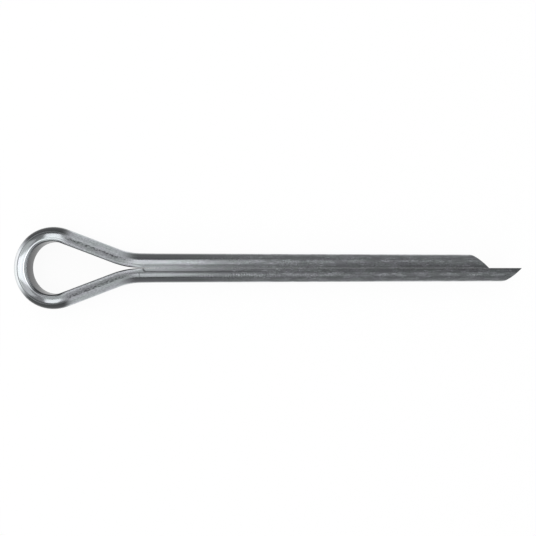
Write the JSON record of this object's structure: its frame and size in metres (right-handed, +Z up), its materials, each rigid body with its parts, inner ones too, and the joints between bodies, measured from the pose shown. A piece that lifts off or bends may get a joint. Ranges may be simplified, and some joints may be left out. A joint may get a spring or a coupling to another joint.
{
  "type": "cotter pin",
  "caption": "Split pin of folded half-round wire, with a teardrop eye and mitred prongs of unequal length that are bent open to lock a nut, clevis pin or shaft.",
  "frame": {"origin": "on the shank's axis, where the wire's two flats meet at the throat of the eye", "axes": "+X along the shank from the eye to the points, +Y across the eye towards the short prong, +Z up through the eye; the pin lies on its side, as it rests on a table"},
  "size_m": [0.0535, 0.0082, 0.003],
  "materials": {
    "zinc_plated_steel": "bright zinc plate over drawn steel wire, with fine draw lines along the wire"
  },
  "bodies": {
    "root": {"cotter_pin": "zinc_plated_steel"}
  },
  "joints": []
}
